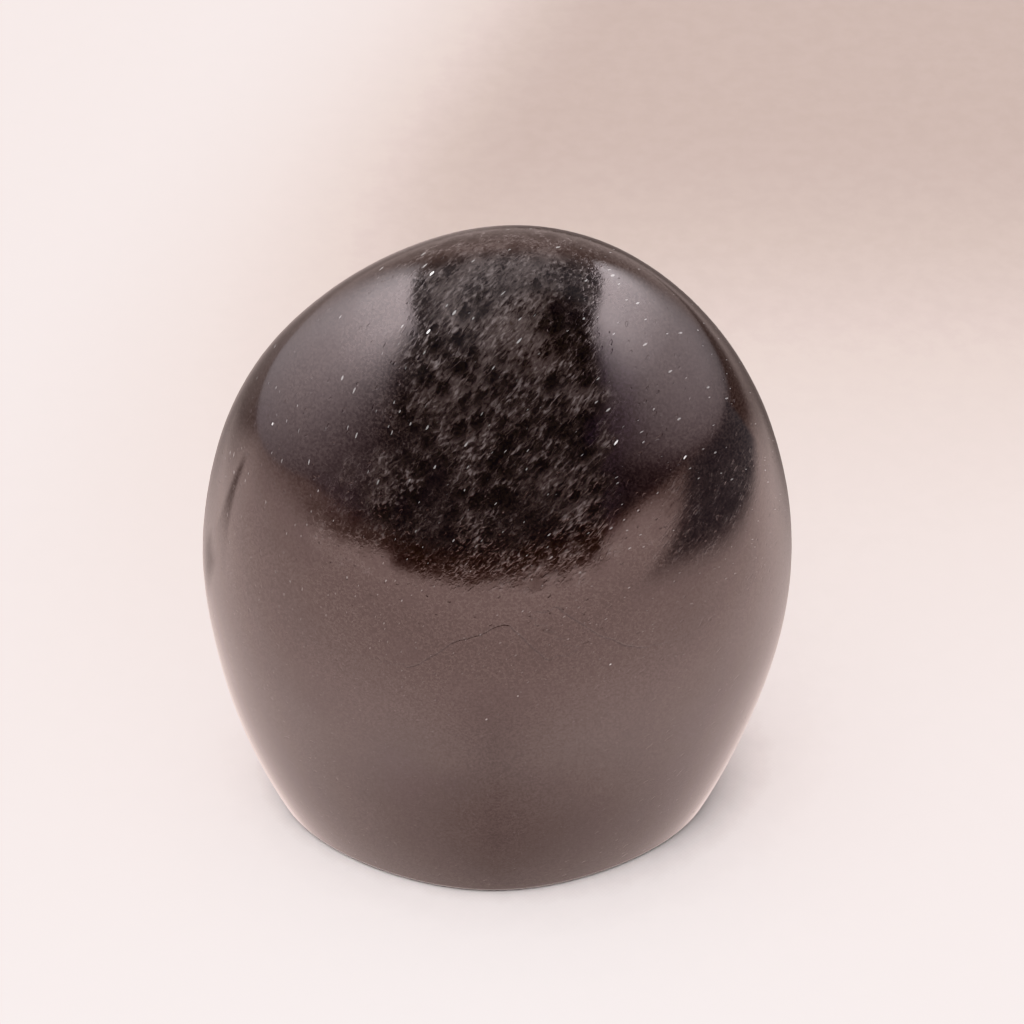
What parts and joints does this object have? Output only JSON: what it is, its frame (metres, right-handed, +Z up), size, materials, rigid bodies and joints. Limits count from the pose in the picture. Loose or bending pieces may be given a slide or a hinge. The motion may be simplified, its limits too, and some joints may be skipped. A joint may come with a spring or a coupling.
{
  "type": "black tourmaline freeform",
  "caption": "Polished black tourmaline freeform: a tall rounded stone, wider than it is deep, that stands on a flat sawn base.",
  "frame": {"origin": "middle of the stone's box, on the surface that its flat base rests on", "axes": "+Z up towards the crown, -Y out of the broad front face, +X to the right as seen from the front"},
  "size_m": [0.0638, 0.0409, 0.0777],
  "materials": {
    "polished_tourmaline": "polished to a gloss, near black, with a fine needle grain, small pits and faint healed cracks"
  },
  "bodies": {
    "root": {"tourmaline_stone": "polished_tourmaline"}
  },
  "joints": []
}
